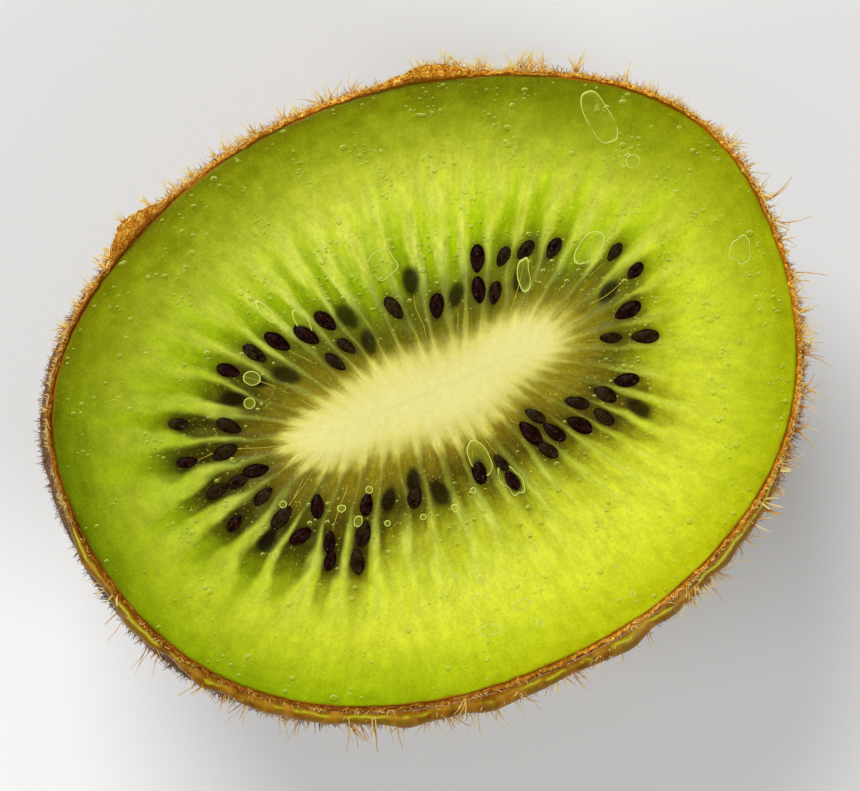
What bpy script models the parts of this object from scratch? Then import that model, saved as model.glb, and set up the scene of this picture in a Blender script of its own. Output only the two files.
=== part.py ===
"""Half of a kiwi fruit, cut across its middle and standing on its end with the cut face up.

X runs along the longer way of the cut face, Y along the shorter way, and +Z is up. The
origin lies under the middle of the fruit, on the surface that it stands on.
"""

import math
import random

import bmesh
import bpy
from mathutils import Matrix, Vector

MM = 0.001

# The cut face, measured across the skin's edge
FACE_HALF_LENGTH = 29.14 * MM
FACE_HALF_WIDTH = 23.14 * MM
FACE_SQUARENESS = 2.15  # power of the outline, where 2 is an ellipse
FACE_LOBES = ((3, 0.0108, 5), (5, 0.0068, -14), (6, 0.0051, -96))  # soft corners: count, share, degrees
FACE_SHIFT = Vector((0.25, 0.25)) * MM  # of the outline's middle from the core's
FACE_HEIGHT = 34.0 * MM  # of the cut above the resting surface
FACE_CENTRE = (0.1745 * MM, 0.2805 * MM)  # of the cut face, from the middle of the whole

# The pale core in the middle of the face
CORE_HALF_LENGTH = 11.45 * MM
CORE_HALF_WIDTH = 3.43 * MM
CORE_RISE = 0.35 * MM
CORE_CAP_OUT = -0.13  # the core's innermost ring, as a share of the way out

# The body under the cut, down to the flat spot that it stands on
GIRTH_DEPTH = 5.0 * MM  # of the fullest girth, under the cut
DOME_DEPTH = 35.1 * MM  # at which the dome would close without its flat spot
DOME_POWER = 2.2
BULGE = 0.5 * MM  # of the girth past the rim
LEAN = 0.7 * MM  # of the body out from under the cut, on its low side
LEAN_TURN = math.radians(227)
DOME_STEPS = 13

# The skin's cut edge, which stands a little proud of the flesh
SKIN_THICK = 0.35 * MM
SKIN_PROUD = 0.22 * MM
SKIN_RAGGED = 0.14 * MM
FLAPS = ((math.radians(73), 0.9 * MM), (math.radians(122), 1.3 * MM))  # turn, reach
FLAP_SPREAD = math.radians(9)
FLAP_LIFT = 0.35  # of a flap's height to its reach

# The chambers round the core, each a pie slice of softer flesh between two firm walls
CHAMBERS = 43
CHAMBER_RING = 0.18  # where the chambers are evenly spaced, as a share of the way out
CHAMBER_SINK = 0.22 * MM
CHAMBER_DRIFT = (0.124, 0.064, -0.673, -0.261)  # uneven spacing, in chambers

# The seeds of each chamber, from the core's +X end round towards +Y. Each letter is a
# seed: a lies SEED_NEAR from the core, and each next letter SEED_STEP further out. A
# capital lies in the cut, and a small letter is sunk under it.
SEED_ROWS = """
    G fK L - I dI BH CH c B g D - fa GB AG I Jd gK h NG MG CJF KE Gk DI MJ IDM d Eb e -
    D HE - GC EA G ID lF H - ID
"""
SEED_NEAR = 2.0 * MM
SEED_STEP = 0.5 * MM
SEED_LENGTH = 2.2 * MM
SEED_WIDTH = 1.3 * MM
SEED_THICK = 1.05 * MM
SEED_SUNK = 0.12 * MM  # of a seed's middle under the flesh
SEED_SIDES = 6
SEED_RINGS = 4

# Rings of the face, as shares of the way from the core's edge to the skin
FACE_RINGS = (0.96, 0.84, 0.70, 0.56, 0.45, 0.36, 0.28, 0.20, 0.13, 0.07, 0.02, -0.04, -0.09)

# The finishes: name, colour and roughness, and each one's number on the body
FINISHES = (
    ("green_flesh", (0.42, 0.52, 0.04), 0.35),
    ("pale_core", (0.78, 0.74, 0.28), 0.45),
    ("brown_skin", (0.24, 0.13, 0.04), 0.85),
    ("dark_seed", (0.012, 0.005, 0.003), 0.25),
)
FLESH, CORE, SKIN, SEED = range(len(FINISHES))


def smooth_step(value):
    """Rises from 0 to 1 as value does, level at both ends."""
    value = min(max(value, 0.0), 1.0)
    return value * value * (3.0 - 2.0 * value)


def signed_power(value, power):
    return math.copysign(abs(value) ** power, value)


def face_point(turn, out):
    """A point of the cut face: out is 0 on the core's edge and 1 on the skin's."""
    power = 1.0 - (1.0 - 2.0 / FACE_SQUARENESS) * out * out
    lobes = sum(size * math.sin(count * turn + math.radians(start)) for count, size, start in FACE_LOBES)
    swell = 1.0 + lobes * out * out
    half_length = CORE_HALF_LENGTH + (FACE_HALF_LENGTH - CORE_HALF_LENGTH) * out
    half_width = CORE_HALF_WIDTH + (FACE_HALF_WIDTH - CORE_HALF_WIDTH) * out
    x = half_length * swell * signed_power(math.cos(turn), power)
    y = half_width * swell * signed_power(math.sin(turn), power)
    return Vector((x, y)) + FACE_SHIFT * out * out


def chamber_turns(samples=1440):
    """Returns a function that gives a chamber number's turn round the core."""
    turns = [2.0 * math.pi * i / samples for i in range(samples + 1)]
    points = [face_point(turn, CHAMBER_RING) for turn in turns]
    lengths = [0.0]
    for before, after in zip(points, points[1:]):
        lengths.append(lengths[-1] + (after - before).length)

    def turn_of(chamber):
        middle, side, swing, double = CHAMBER_DRIFT
        wave = 2.0 * math.pi * chamber / CHAMBERS
        drift = middle + side * math.cos(wave) + swing * math.sin(wave) + double * math.cos(2.0 * wave)
        whole, share = divmod((chamber + drift) / CHAMBERS, 1.0)
        target = share * lengths[-1]
        low = next(i for i in range(samples) if lengths[i + 1] >= target)
        part = (target - lengths[low]) / (lengths[low + 1] - lengths[low])
        return turns[low] + part * (turns[1] - turns[0]) + 2.0 * math.pi * whole

    return turn_of


def ragged(rng, waves=9):
    """Returns a smooth uneven function of turn, between about -1 and 1."""
    parts = [(rng.randint(5, 34), rng.uniform(0.0, 2.0 * math.pi)) for _ in range(waves)]
    return lambda turn: sum(math.sin(count * turn + start) for count, start in parts) / math.sqrt(waves)


def flap_at(turn):
    """How far the torn flaps of skin reach out at this turn."""
    reach = 0.0
    for place, size in FLAPS:
        apart = abs((turn - place + math.pi) % (2.0 * math.pi) - math.pi)
        reach += size * smooth_step(1.0 - apart / FLAP_SPREAD)
    return reach


def flesh_rise(out, in_chamber):
    """Height of the flesh over the cut's plane; in_chamber is 1 mid chamber and 0 on a wall."""
    core = CORE_RISE * smooth_step(-out / 0.1 + 0.3)
    depth = smooth_step(out / 0.08 + 0.2) * smooth_step((0.5 - out) / 0.3)
    return core - CHAMBER_SINK * depth * in_chamber


def dome_scale(depth):
    """Size of the level ring at this depth, as a share of the fullest one."""
    if depth <= GIRTH_DEPTH:
        return 1.0
    share = (depth - GIRTH_DEPTH) / (DOME_DEPTH - GIRTH_DEPTH)
    return (1.0 - share**DOME_POWER) ** (1.0 / DOME_POWER)


def dome_point(turn, depth):
    """A point of the skin this far under the cut."""
    scale = dome_scale(depth)
    edge = face_point(turn, 1.0)
    bulge = edge.normalized() * BULGE * smooth_step(depth / (4.0 * MM))
    lean = Vector((math.cos(LEAN_TURN), math.sin(LEAN_TURN))) * LEAN * smooth_step(depth / (6.0 * MM))
    return (edge + bulge + lean) * scale


def dome_depths():
    """Depths of the rings under the rim, closer together where the dome turns in."""
    first = 0.5 * MM
    span = FACE_HEIGHT - first
    return [first + span * math.sin(0.5 * math.pi * i / DOME_STEPS) for i in range(DOME_STEPS + 1)]


def add_ring(mesh, points):
    return [mesh.verts.new((p.x + FACE_CENTRE[0], p.y + FACE_CENTRE[1], p.z)) for p in points]


def bridge(mesh, upper, lower, finish):
    """Joins two rings of the same count, the lower or outer one second."""
    count = len(upper)
    for i in range(count):
        after = (i + 1) % count
        face = mesh.faces.new((upper[i], lower[i], lower[after], upper[after]))
        face.material_index = finish


def fruit_body(turn_of, rng):
    """The closed body of the half without its seeds."""
    columns = [(turn_of(i / 2.0), 1.0 - i % 2) for i in range(2 * CHAMBERS)]
    lip_height, lip_width = ragged(rng), ragged(rng)
    mesh = bmesh.new()
    rings = []

    inner_lip, outer_lip = [], []
    for turn, _ in columns:
        rise = SKIN_PROUD + SKIN_RAGGED * lip_height(turn) + FLAP_LIFT * flap_at(turn)
        edge = face_point(turn, 1.0)
        outward = edge.normalized()
        outer = edge + outward * (0.5 * SKIN_RAGGED * lip_width(turn) + flap_at(turn))
        inner = edge - outward * SKIN_THICK
        outer_lip.append(Vector((outer.x, outer.y, FACE_HEIGHT + 0.7 * rise)))
        inner_lip.append(Vector((inner.x, inner.y, FACE_HEIGHT + rise)))

    finishes = []
    for out in (CORE_CAP_OUT,) + FACE_RINGS[::-1]:
        ring = []
        for turn, in_chamber in columns:
            spot = face_point(turn, out)
            ring.append(Vector((spot.x, spot.y, FACE_HEIGHT + flesh_rise(out, in_chamber))))
        rings.append(add_ring(mesh, ring))
        finishes.append(CORE if out < 0.0 else FLESH)
    rings.append(add_ring(mesh, inner_lip))
    rings.append(add_ring(mesh, outer_lip))
    for depth in dome_depths():
        spots = [dome_point(turn, depth) for turn, _ in columns]
        rings.append(add_ring(mesh, [Vector((s.x, s.y, FACE_HEIGHT - depth)) for s in spots]))
    finishes += [SKIN] * (len(rings) - len(finishes))

    for upper, lower, finish in zip(rings, rings[1:], finishes):
        bridge(mesh, upper, lower, finish)
    mesh.faces.new(rings[0]).material_index = CORE
    mesh.faces.new(rings[-1][::-1]).material_index = SKIN
    bmesh.ops.recalc_face_normals(mesh, faces=mesh.faces)
    bmesh.ops.triangulate(mesh, faces=mesh.faces, quad_method="BEAUTY", ngon_method="BEAUTY")
    return mesh


def seed_spot(turn, distance):
    """The place on the face this far out from the core's edge, and the way out there."""
    start, end = face_point(turn, 0.0), face_point(turn, 1.0)
    outward = (end - start).normalized()
    return start + outward * distance, outward


def seed_mesh():
    """A teardrop of few sides, its blunt end towards +X."""
    mesh = bmesh.new()
    bmesh.ops.create_uvsphere(mesh, u_segments=SEED_SIDES, v_segments=SEED_RINGS, radius=0.5)
    bmesh.ops.rotate(mesh, verts=mesh.verts, matrix=Matrix.Rotation(math.radians(90), 3, "Y"))
    for vert in mesh.verts:
        fullness = 1.0 + 0.35 * vert.co.x
        vert.co = (vert.co.x * SEED_LENGTH, vert.co.y * SEED_WIDTH * fullness, vert.co.z * SEED_THICK)
    bmesh.ops.triangulate(mesh, faces=mesh.faces)
    return mesh


def add_seeds(turn_of, rng, collection, materials):
    """Puts one object in the collection for each seed that shows in the cut."""
    for chamber, row in enumerate(SEED_ROWS.split()):
        for letter in row.replace("-", ""):
            size = rng.uniform(0.88, 1.1)
            tilt = rng.gauss(0.0, math.radians(14))
            aside = rng.uniform(-0.1, 0.1)
            if letter.islower():
                continue
            distance = SEED_NEAR + SEED_STEP * (ord(letter) - ord("A"))
            spot, outward = seed_spot(turn_of(chamber + aside), distance)
            heading = math.atan2(outward.y, outward.x) + tilt
            height = FACE_HEIGHT - CHAMBER_SINK - SEED_SUNK
            place = Vector((spot.x + FACE_CENTRE[0], spot.y + FACE_CENTRE[1], height))
            mesh = seed_mesh()
            turned = Matrix.Rotation(heading, 4, "Z") @ Matrix.Scale(size, 4)
            bmesh.ops.transform(mesh, matrix=Matrix.Translation(place) @ turned, verts=mesh.verts)
            data = bpy.data.meshes.new("seed")
            mesh.to_mesh(data)
            mesh.free()
            data.materials.append(materials[SEED])
            collection.objects.link(bpy.data.objects.new("seed", data))


def fruit_materials():
    """One plain material for each finish, in the order of the finish numbers."""
    materials = []
    for name, colour, roughness in FINISHES:
        material = bpy.data.materials.new(name)
        material.use_nodes = True
        shader = material.node_tree.nodes["Principled BSDF"]
        shader.inputs["Base Color"].default_value = (*colour, 1.0)
        shader.inputs["Roughness"].default_value = roughness
        shader.inputs["Metallic"].default_value = 0.0
        materials.append(material)
    return materials


def fuse(body, collection):
    """Joins the seeds to the body by one union, and removes their objects."""
    union = body.modifiers.new("seeds", "BOOLEAN")
    union.operation = "UNION"
    union.operand_type = "COLLECTION"
    union.collection = collection
    union.solver = "EXACT"
    union.material_mode = "TRANSFER"
    joined = bpy.data.meshes.new_from_object(body.evaluated_get(bpy.context.evaluated_depsgraph_get()))
    body.modifiers.clear()
    body.data = joined
    for seed in list(collection.objects):
        bpy.data.objects.remove(seed)
    bpy.data.collections.remove(collection)


def build():
    for old in list(bpy.data.objects):
        bpy.data.objects.remove(old)
    rng = random.Random(7)
    turn_of = chamber_turns()
    mesh = fruit_body(turn_of, rng)
    data = bpy.data.meshes.new("kiwi_half")
    mesh.to_mesh(data)
    mesh.free()
    materials = fruit_materials()
    for material in materials:
        data.materials.append(material)
    body = bpy.data.objects.new("kiwi_half", data)
    bpy.context.scene.collection.objects.link(body)
    seeds = bpy.data.collections.new("seeds")
    bpy.context.scene.collection.children.link(seeds)
    add_seeds(turn_of, rng, seeds, materials)
    fuse(body, seeds)
    body.data.shade_smooth()
    body.data.set_sharp_from_angle(angle=math.radians(35))


build()
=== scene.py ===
import math
import random

import bmesh
import bpy
import numpy as np
from mathutils import Matrix, Vector


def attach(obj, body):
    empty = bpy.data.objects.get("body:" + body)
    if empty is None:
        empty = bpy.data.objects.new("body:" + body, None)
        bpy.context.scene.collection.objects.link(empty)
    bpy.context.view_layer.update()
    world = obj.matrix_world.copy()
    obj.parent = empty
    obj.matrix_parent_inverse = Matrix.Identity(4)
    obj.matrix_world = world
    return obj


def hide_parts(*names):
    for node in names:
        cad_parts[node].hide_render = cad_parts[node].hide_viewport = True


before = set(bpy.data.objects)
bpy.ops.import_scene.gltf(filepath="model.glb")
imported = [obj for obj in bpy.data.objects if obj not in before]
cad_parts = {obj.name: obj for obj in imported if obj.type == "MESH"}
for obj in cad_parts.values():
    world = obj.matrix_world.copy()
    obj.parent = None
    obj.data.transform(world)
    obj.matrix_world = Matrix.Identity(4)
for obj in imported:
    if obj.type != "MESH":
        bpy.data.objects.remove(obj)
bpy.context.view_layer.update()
mm = 0.001
fullTurn = 2 * math.pi
print("kiwi half: frame loaded")

# The fruit's form in millimetres, as the solid under it has it
fruit = {
    "halfLength": 29.14,  # of the cut face, out to the skin's edge
    "halfWidth": 23.14,
    "squareness": 2.15,  # power of the outline, where 2 is an ellipse
    "lobes": ((3, 0.0108, 5), (5, 0.0068, -14), (6, 0.0051, -96)),  # soft corners: count, share, degrees
    "shift": np.array([0.25, 0.25]),  # of the outline's middle from the core's
    "height": 34.0,  # of the cut above the floor
    "centre": np.array([0.1745, 0.2805]),  # of the cut face
    "coreHalfLength": 11.45,
    "coreHalfWidth": 3.43,
    "coreRise": 0.35,
    "girthDepth": 5.0,  # of the fullest girth under the cut
    "domeDepth": 35.1,
    "domePower": 2.2,
    "bulge": 0.5,
    "bulgeDepth": 4.0,
    "lean": 0.7,
    "leanDepth": 6.0,
    "leanTurn": math.radians(227),
    "skinThick": 0.35,
    "skinProud": 0.22,
    "skinRagged": 0.14,
    "flaps": ((math.radians(73), 0.9), (math.radians(122), 1.3)),  # turn and reach of torn skin
    "flapSpread": math.radians(9),
    "flapLift": 0.35,
    "flapFade": 0.8,  # how far down the skin they pull it out
    "chambers": 43,
    "chamberRing": 0.18,
    "drift": (0.124, 0.064, -0.673, -0.261),  # uneven spacing of the chambers
}


def smoothStep(value, low=0.0, high=1.0):  # 0 to 1, level at both ends
    value = np.clip((value - low) / (high - low), 0, 1)
    return value * value * (3 - 2 * value)


def signedPower(value, power):
    return np.sign(value) * np.abs(value) ** power


def unit(vectors):
    return vectors / np.linalg.norm(vectors, axis=-1, keepdims=True)


def facePoint(turn, out):  # on the cut: out is 0 at the core's edge and 1 at the skin's
    power = 1 - (1 - 2 / fruit["squareness"]) * out * out
    lobes = sum(size * np.sin(count * turn + math.radians(start)) for count, size, start in fruit["lobes"])
    swell = 1 + lobes * out * out
    halfLength = fruit["coreHalfLength"] + (fruit["halfLength"] - fruit["coreHalfLength"]) * out
    halfWidth = fruit["coreHalfWidth"] + (fruit["halfWidth"] - fruit["coreHalfWidth"]) * out
    x = halfLength * swell * signedPower(np.cos(turn), power)
    y = halfWidth * swell * signedPower(np.sin(turn), power)
    shift = np.multiply.outer(np.square(out), fruit["shift"])
    return np.stack(np.broadcast_arrays(x, y), axis=-1) + shift


ringTurns = np.linspace(0, fullTurn, 1441)
ringPoints = facePoint(ringTurns, fruit["chamberRing"])
ringShares = np.concatenate([[0], np.cumsum(np.linalg.norm(np.diff(ringPoints, axis=0), axis=1))])
ringShares /= ringShares[-1]


def turnOf(chamber):  # a chamber's number to its turn round the core
    middle, side, swing, double = fruit["drift"]
    wave = fullTurn * np.asarray(chamber, float) / fruit["chambers"]
    drift = middle + side * np.cos(wave) + swing * np.sin(wave) + double * np.cos(2 * wave)
    share = (chamber + drift) / fruit["chambers"]
    whole = np.floor(share)
    return np.interp(share - whole, ringShares, ringTurns) + fullTurn * whole


def domeScale(depth):
    share = np.clip((depth - fruit["girthDepth"]) / (fruit["domeDepth"] - fruit["girthDepth"]), 0, 1)
    return (1 - share ** fruit["domePower"]) ** (1 / fruit["domePower"])


def domePoint(turn, depth):  # on the skin, this far under the cut
    edge = facePoint(turn, 1.0)
    outward = unit(edge)
    leanWay = np.array([math.cos(fruit["leanTurn"]), math.sin(fruit["leanTurn"])])
    bulge = outward * (fruit["bulge"] * smoothStep(depth / fruit["bulgeDepth"]))[..., None]
    lean = leanWay * (fruit["lean"] * smoothStep(depth / fruit["leanDepth"]))[..., None]
    return (edge + bulge + lean) * domeScale(depth)[..., None]


def inFrame(flat, height):  # face millimetres to the row frame's
    flat = flat + fruit["centre"]
    return np.concatenate([flat, np.broadcast_to(height, flat.shape[:-1])[..., None]], axis=-1)


def ragged(rng, waves=9):  # a smooth uneven function of turn, between about -1 and 1
    parts = [(rng.randint(5, 34), rng.uniform(0.0, fullTurn)) for _ in range(waves)]
    return lambda turn: sum(np.sin(count * turn + start) for count, start in parts) / math.sqrt(waves)


def flapAt(turn):  # how far the torn flaps of skin reach
    reach = 0.0
    for place, size in fruit["flaps"]:
        apart = np.abs((turn - place + math.pi) % fullTurn - math.pi)
        reach = reach + size * smoothStep(1.0 - apart / fruit["flapSpread"])
    return reach


def flapBelow(turn, depth):  # and how far they pull the skin out under them
    return flapAt(turn) * np.exp(-depth / fruit["flapFade"])


def softNoise(points, size, seed, waves=16):  # smooth lumps about this size, around 0
    rng = np.random.default_rng(seed)
    value = np.zeros(points.shape[:-1])
    for _ in range(waves):
        way = rng.normal(size=points.shape[-1])
        way *= fullTurn / (size * rng.uniform(0.8, 2.2) * np.linalg.norm(way))
        value += np.sin(points @ way + rng.uniform(0, fullTurn))
    return value / math.sqrt(waves)


def lumpsOf(points, layers):
    return sum(tall * softNoise(points, size, draw) for tall, size, draw in layers)


growth = random.Random(7)  # the same draws as the solid's
lipHeight, lipWidth = ragged(growth), ragged(growth)

# The seeds of each chamber, from the core's +X end round towards +Y. Each letter is a seed:
# a lies near the core and each next letter a step further out. Capitals lie in the cut, and
# small letters are sunk under it.
seedSettings = {
    "rows": (
        "G fK L - I dI BH CH c B g D - fa GB AG I Jd gK h NG MG CJF KE Gk DI MJ IDM d Eb e -"
        " D HE - GC EA G ID lF H - ID"
    ),
    "near": 2.0,
    "step": 0.5,
    "length": 2.2,
    "width": 1.22,
    "thick": 0.74,
    "sunk": 0.16,
    "veiled": 0.4,  # share of them under a film of flesh
    "tilt": math.radians(14),
}


def sowSeeds():
    seeds = []
    for chamber, row in enumerate(seedSettings["rows"].split()):
        for letter in row.replace("-", ""):
            size = growth.uniform(0.88, 1.1)
            tilt = growth.gauss(0.0, seedSettings["tilt"])
            aside = growth.uniform(-0.1, 0.1)
            distance = seedSettings["near"] + seedSettings["step"] * (ord(letter.upper()) - ord("A"))
            turn = turnOf(chamber + aside)
            start, end = facePoint(turn, 0.0), facePoint(turn, 1.0)
            span = np.linalg.norm(end - start)
            outward = (end - start) / span
            seeds.append({"spot": start + outward * distance, "size": size, "sunken": letter.islower(),
                          "heading": math.atan2(outward[1], outward[0]) + tilt, "chamber": chamber,
                          "distance": distance, "start": start, "outward": outward, "span": span,
                          "out": distance / span, "shade": 0.86 + 0.12 * math.sin(7.0 * chamber) ** 2})
    return seeds


seeds = sowSeeds()
print("kiwi half:", len(seeds), "seeds sown,", sum(s["sunken"] for s in seeds), "of them sunken")


def seedDistance(flat, seed):  # 1 on the seed's outline, 0 in its middle
    away = flat - seed["spot"]
    along = away[..., 0] * math.cos(seed["heading"]) + away[..., 1] * math.sin(seed["heading"])
    across = away[..., 1] * math.cos(seed["heading"]) - away[..., 0] * math.sin(seed["heading"])
    length, width, half = seedSettings["length"], seedSettings["width"], 0.5 * seed["size"]
    fullness = 1 + 0.35 * np.clip(along / length, -0.5, 0.5)
    return np.hypot(along / (length * half), across / (width * half * fullness))


# Node helpers

def tint(red, green, blue):  # a screen colour of 0 to 255 as a node wants it
    shares = (red / 255, green / 255, blue / 255)
    return (*(c / 12.92 if c <= 0.04045 else ((c + 0.055) / 1.055) ** 2.4 for c in shares), 1.0)


def feed(tree, socket, source):  # a number, a colour or another node's output
    if isinstance(source, bpy.types.NodeSocket):
        tree.links.new(source, socket)
    else:
        socket.default_value = source


def maths(tree, operation, *sources):
    node = tree.nodes.new("ShaderNodeMath")
    node.operation = operation
    for socket, source in zip(node.inputs, sources):
        feed(tree, socket, source)
    return node.outputs[0]


def product(tree, value, *others):
    for other in others:
        value = maths(tree, "MULTIPLY", value, other)
    return value


def placeOf(tree):
    return tree.nodes.new("ShaderNodeTexCoord").outputs["Object"]


def stretched(tree, place, share):  # with patterns drawn out along Z
    node = tree.nodes.new("ShaderNodeMapping")
    feed(tree, node.inputs["Vector"], place)
    node.inputs["Scale"].default_value = (1.0, 1.0, share)
    return node.outputs[0]


def noiseOf(tree, place, scale, detail=2.0, roughness=0.5, distortion=0.0):
    node = tree.nodes.new("ShaderNodeTexNoise")
    feed(tree, node.inputs["Vector"], place)
    node.inputs["Scale"].default_value = scale
    node.inputs["Detail"].default_value = detail
    node.inputs["Roughness"].default_value = roughness
    node.inputs["Distortion"].default_value = distortion
    return node.outputs[0]


def level(tree, value, low, high, toLow=0.0, toHigh=1.0, smooth=False):
    node = tree.nodes.new("ShaderNodeMapRange")
    node.interpolation_type = "SMOOTHSTEP" if smooth else "LINEAR"
    names = ("Value", "From Min", "From Max", "To Min", "To Max")
    for name, source in zip(names, (value, low, high, toLow, toHigh)):
        feed(tree, node.inputs[name], source)
    return node.outputs[0]


def uneven(tree, noise, amount=1.0):  # noise as a value that swings this far either way
    return level(tree, noise, 0.3, 0.7, -amount, amount)


# Ways across the cut, named as the picture shows them
ways = {
    "up": (0.384, 0.923, 0.0),
    "upRight": (0.924, 0.381, 0.0),
    "right": (0.925, 0.2, 0.0),
    "rightOfCore": (0.924, -0.1, 0.0),
    "rightEnd": (1.0, -0.15, 0.0),
    "alongCore": (1.0, 0.0, 0.0),
    "lowRight": (0.381, -0.925, 0.0),
    "low": (0.35, -0.94, 0.0),
    "lit": (0.266, -0.964, 0.0),
    "lowLeft": (-0.93, -0.37, 0.0),
    "leftEnd": (-0.97, -0.15, 0.0),
    "left": (-0.97, 0.26, 0.0),
}


def distanceTo(tree, place, way):  # metres from the core's middle, that way
    node = tree.nodes.new("ShaderNodeVectorMath")
    node.operation = "DOT_PRODUCT"
    feed(tree, node.inputs[0], place)
    feed(tree, node.inputs[1], ways[way])
    return node.outputs["Value"]


def towards(tree, place, way, *limits, smooth=False):  # 0 to 1 between two such distances
    return level(tree, distanceTo(tree, place, way), *limits, smooth=smooth)


def stopsOf(tree, value, stops):
    low, high = stops[0][0], stops[-1][0]
    node = tree.nodes.new("ShaderNodeValToRGB")
    elements = node.color_ramp.elements
    while len(elements) < len(stops):
        elements.new(0.5)
    for element, (place, colour) in zip(elements, stops):
        element.position = (place - low) / (high - low)
        element.color = colour
    feed(tree, node.inputs[0], level(tree, value, low, high))
    return node.outputs[0]


def rampOf(tree, value, *stops):  # stops are (value, screen colour)
    return stopsOf(tree, value, [(place, tint(*colour)) for place, colour in stops])


def curveOf(tree, value, *stops):  # stops are (value, number)
    return stopsOf(tree, value, [(place, (number, number, number, 1)) for place, number in stops])


def mixOf(tree, amount, first, second, blend="MIX"):
    node = tree.nodes.new("ShaderNodeMix")
    node.data_type = "RGBA"
    node.blend_type = blend
    feed(tree, node.inputs["Factor"], amount)
    feed(tree, node.inputs[6], first)
    feed(tree, node.inputs[7], second)
    return node.outputs[2]


def shadeBy(tree, amount, colour, by):  # the colour, times another where amount is 1
    return mixOf(tree, amount, colour, mixOf(tree, 1.0, colour, (*by, 1), "MULTIPLY"))


def attributeOf(tree, name, output="Fac"):
    node = tree.nodes.new("ShaderNodeAttribute")
    node.attribute_name = name
    return node.outputs[output]


def bumpOf(tree, height, strength, distance):
    node = tree.nodes.new("ShaderNodeBump")
    node.inputs["Strength"].default_value = strength
    node.inputs["Distance"].default_value = distance
    feed(tree, node.inputs["Height"], height)
    return node.outputs[0]


def newMaterial(name, **constants):
    material = bpy.data.materials.new(name)
    material.use_nodes = True
    shader = material.node_tree.nodes["Principled BSDF"]
    for socket, value in constants.items():
        shader.inputs[socket].default_value = value
    return material, material.node_tree, shader


# Mesh helpers

def showPiece(name, mesh, material):
    mesh.shade_smooth()
    mesh.materials.append(material)
    piece = bpy.data.objects.new(name, mesh)
    bpy.context.scene.collection.objects.link(piece)
    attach(piece, "root")
    print("kiwi half:", name, "has", len(mesh.polygons), "faces")
    return piece


def keepValue(mesh, name, values):  # a value or a vector at each point, for the materials
    values = np.asarray(values, np.float32)
    kind, key = ("FLOAT_VECTOR", "vector") if values.ndim == 2 else ("FLOAT", "value")
    attribute = mesh.attributes.new(name, kind, "POINT")
    attribute.data.foreach_set(key, values.ravel())


def wrappedSheet(name, columns, rows, place):
    # a grid wrapped round the fruit's axis, with its seam welded and both end holes filled
    sheet = bmesh.new()
    sheet.loops.layers.uv.new("chambers")
    bmesh.ops.create_grid(sheet, x_segments=columns, y_segments=rows, size=0.5, calc_uvs=True)
    mesh = bpy.data.meshes.new(name)
    sheet.to_mesh(mesh)
    flat = np.empty(3 * len(mesh.vertices), np.float32)
    mesh.vertices.foreach_get("co", flat)
    flat = flat.reshape(-1, 3)
    column = np.rint((flat[:, 0] + 0.5) * columns).astype(int)
    row = np.rint((flat[:, 1] + 0.5) * rows).astype(int)
    points, values = place(column, row)
    mesh.vertices.foreach_set("co", (points * mm).astype(np.float32).ravel())
    for key, value in values.items():
        keepValue(mesh, key, value)
    sheet.clear()
    sheet.from_mesh(mesh)
    bmesh.ops.remove_doubles(sheet, verts=[v for v in sheet.verts if v.is_boundary], dist=2e-6)
    bmesh.ops.holes_fill(sheet, edges=[e for e in sheet.edges if e.is_boundary], sides=0)
    bmesh.ops.recalc_face_normals(sheet, faces=sheet.faces)
    sheet.to_mesh(mesh)
    sheet.free()
    return mesh


def rod(sides, tip, cuts):  # a template 1 long along Z and 1 in radius at its foot, with rings at the cuts
    template = bmesh.new()
    bmesh.ops.create_cone(template, cap_ends=True, segments=sides, radius1=1.0, radius2=tip, depth=1.0)
    bmesh.ops.translate(template, verts=template.verts, vec=(0, 0, 0.5))
    for cut in cuts:
        everything = template.verts[:] + template.edges[:] + template.faces[:]
        bmesh.ops.bisect_plane(template, geom=everything, plane_co=(0, 0, cut), plane_no=(0, 0, 1))
    return template


def repeated(name, template, points):
    # one mesh of many copies of a template, which it frees; points holds each copy's vertices
    faces = sorted([v.index for v in face.verts] for face in template.faces)  # in one order on every run
    corners = np.array([corner for face in faces for corner in face])
    sizes = np.array([len(face) for face in faces])
    copies, size = points.shape[:2]
    allCorners = (corners[None, :] + size * np.arange(copies)[:, None]).ravel()
    allSizes = np.tile(sizes, copies)
    mesh = bpy.data.meshes.new(name)
    mesh.vertices.add(copies * size)
    mesh.vertices.foreach_set("co", (points * mm).astype(np.float32).ravel())
    mesh.loops.add(len(allCorners))
    mesh.loops.foreach_set("vertex_index", allCorners.astype(np.int32))
    mesh.polygons.add(len(allSizes))
    starts = np.concatenate([[0], np.cumsum(allSizes)[:-1]])
    mesh.polygons.foreach_set("loop_start", starts.astype(np.int32))
    mesh.update(calc_edges=True)
    template.free()
    return mesh


def templatePoints(template):
    template.verts.ensure_lookup_table()
    template.verts.index_update()
    return np.array([v.co for v in template.verts])


def riseAt(out, phase):  # height of the flesh over the cut; phase is 1 mid chamber, 0 on a wall
    core = fruit["coreRise"] * smoothStep(-out / 0.1 + 0.3)
    ring = smoothStep(out / 0.08 + 0.2) * smoothStep((0.5 - out) / 0.3)
    return core - fleshSettings["sink"] * ring * smoothStep(phase)


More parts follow.
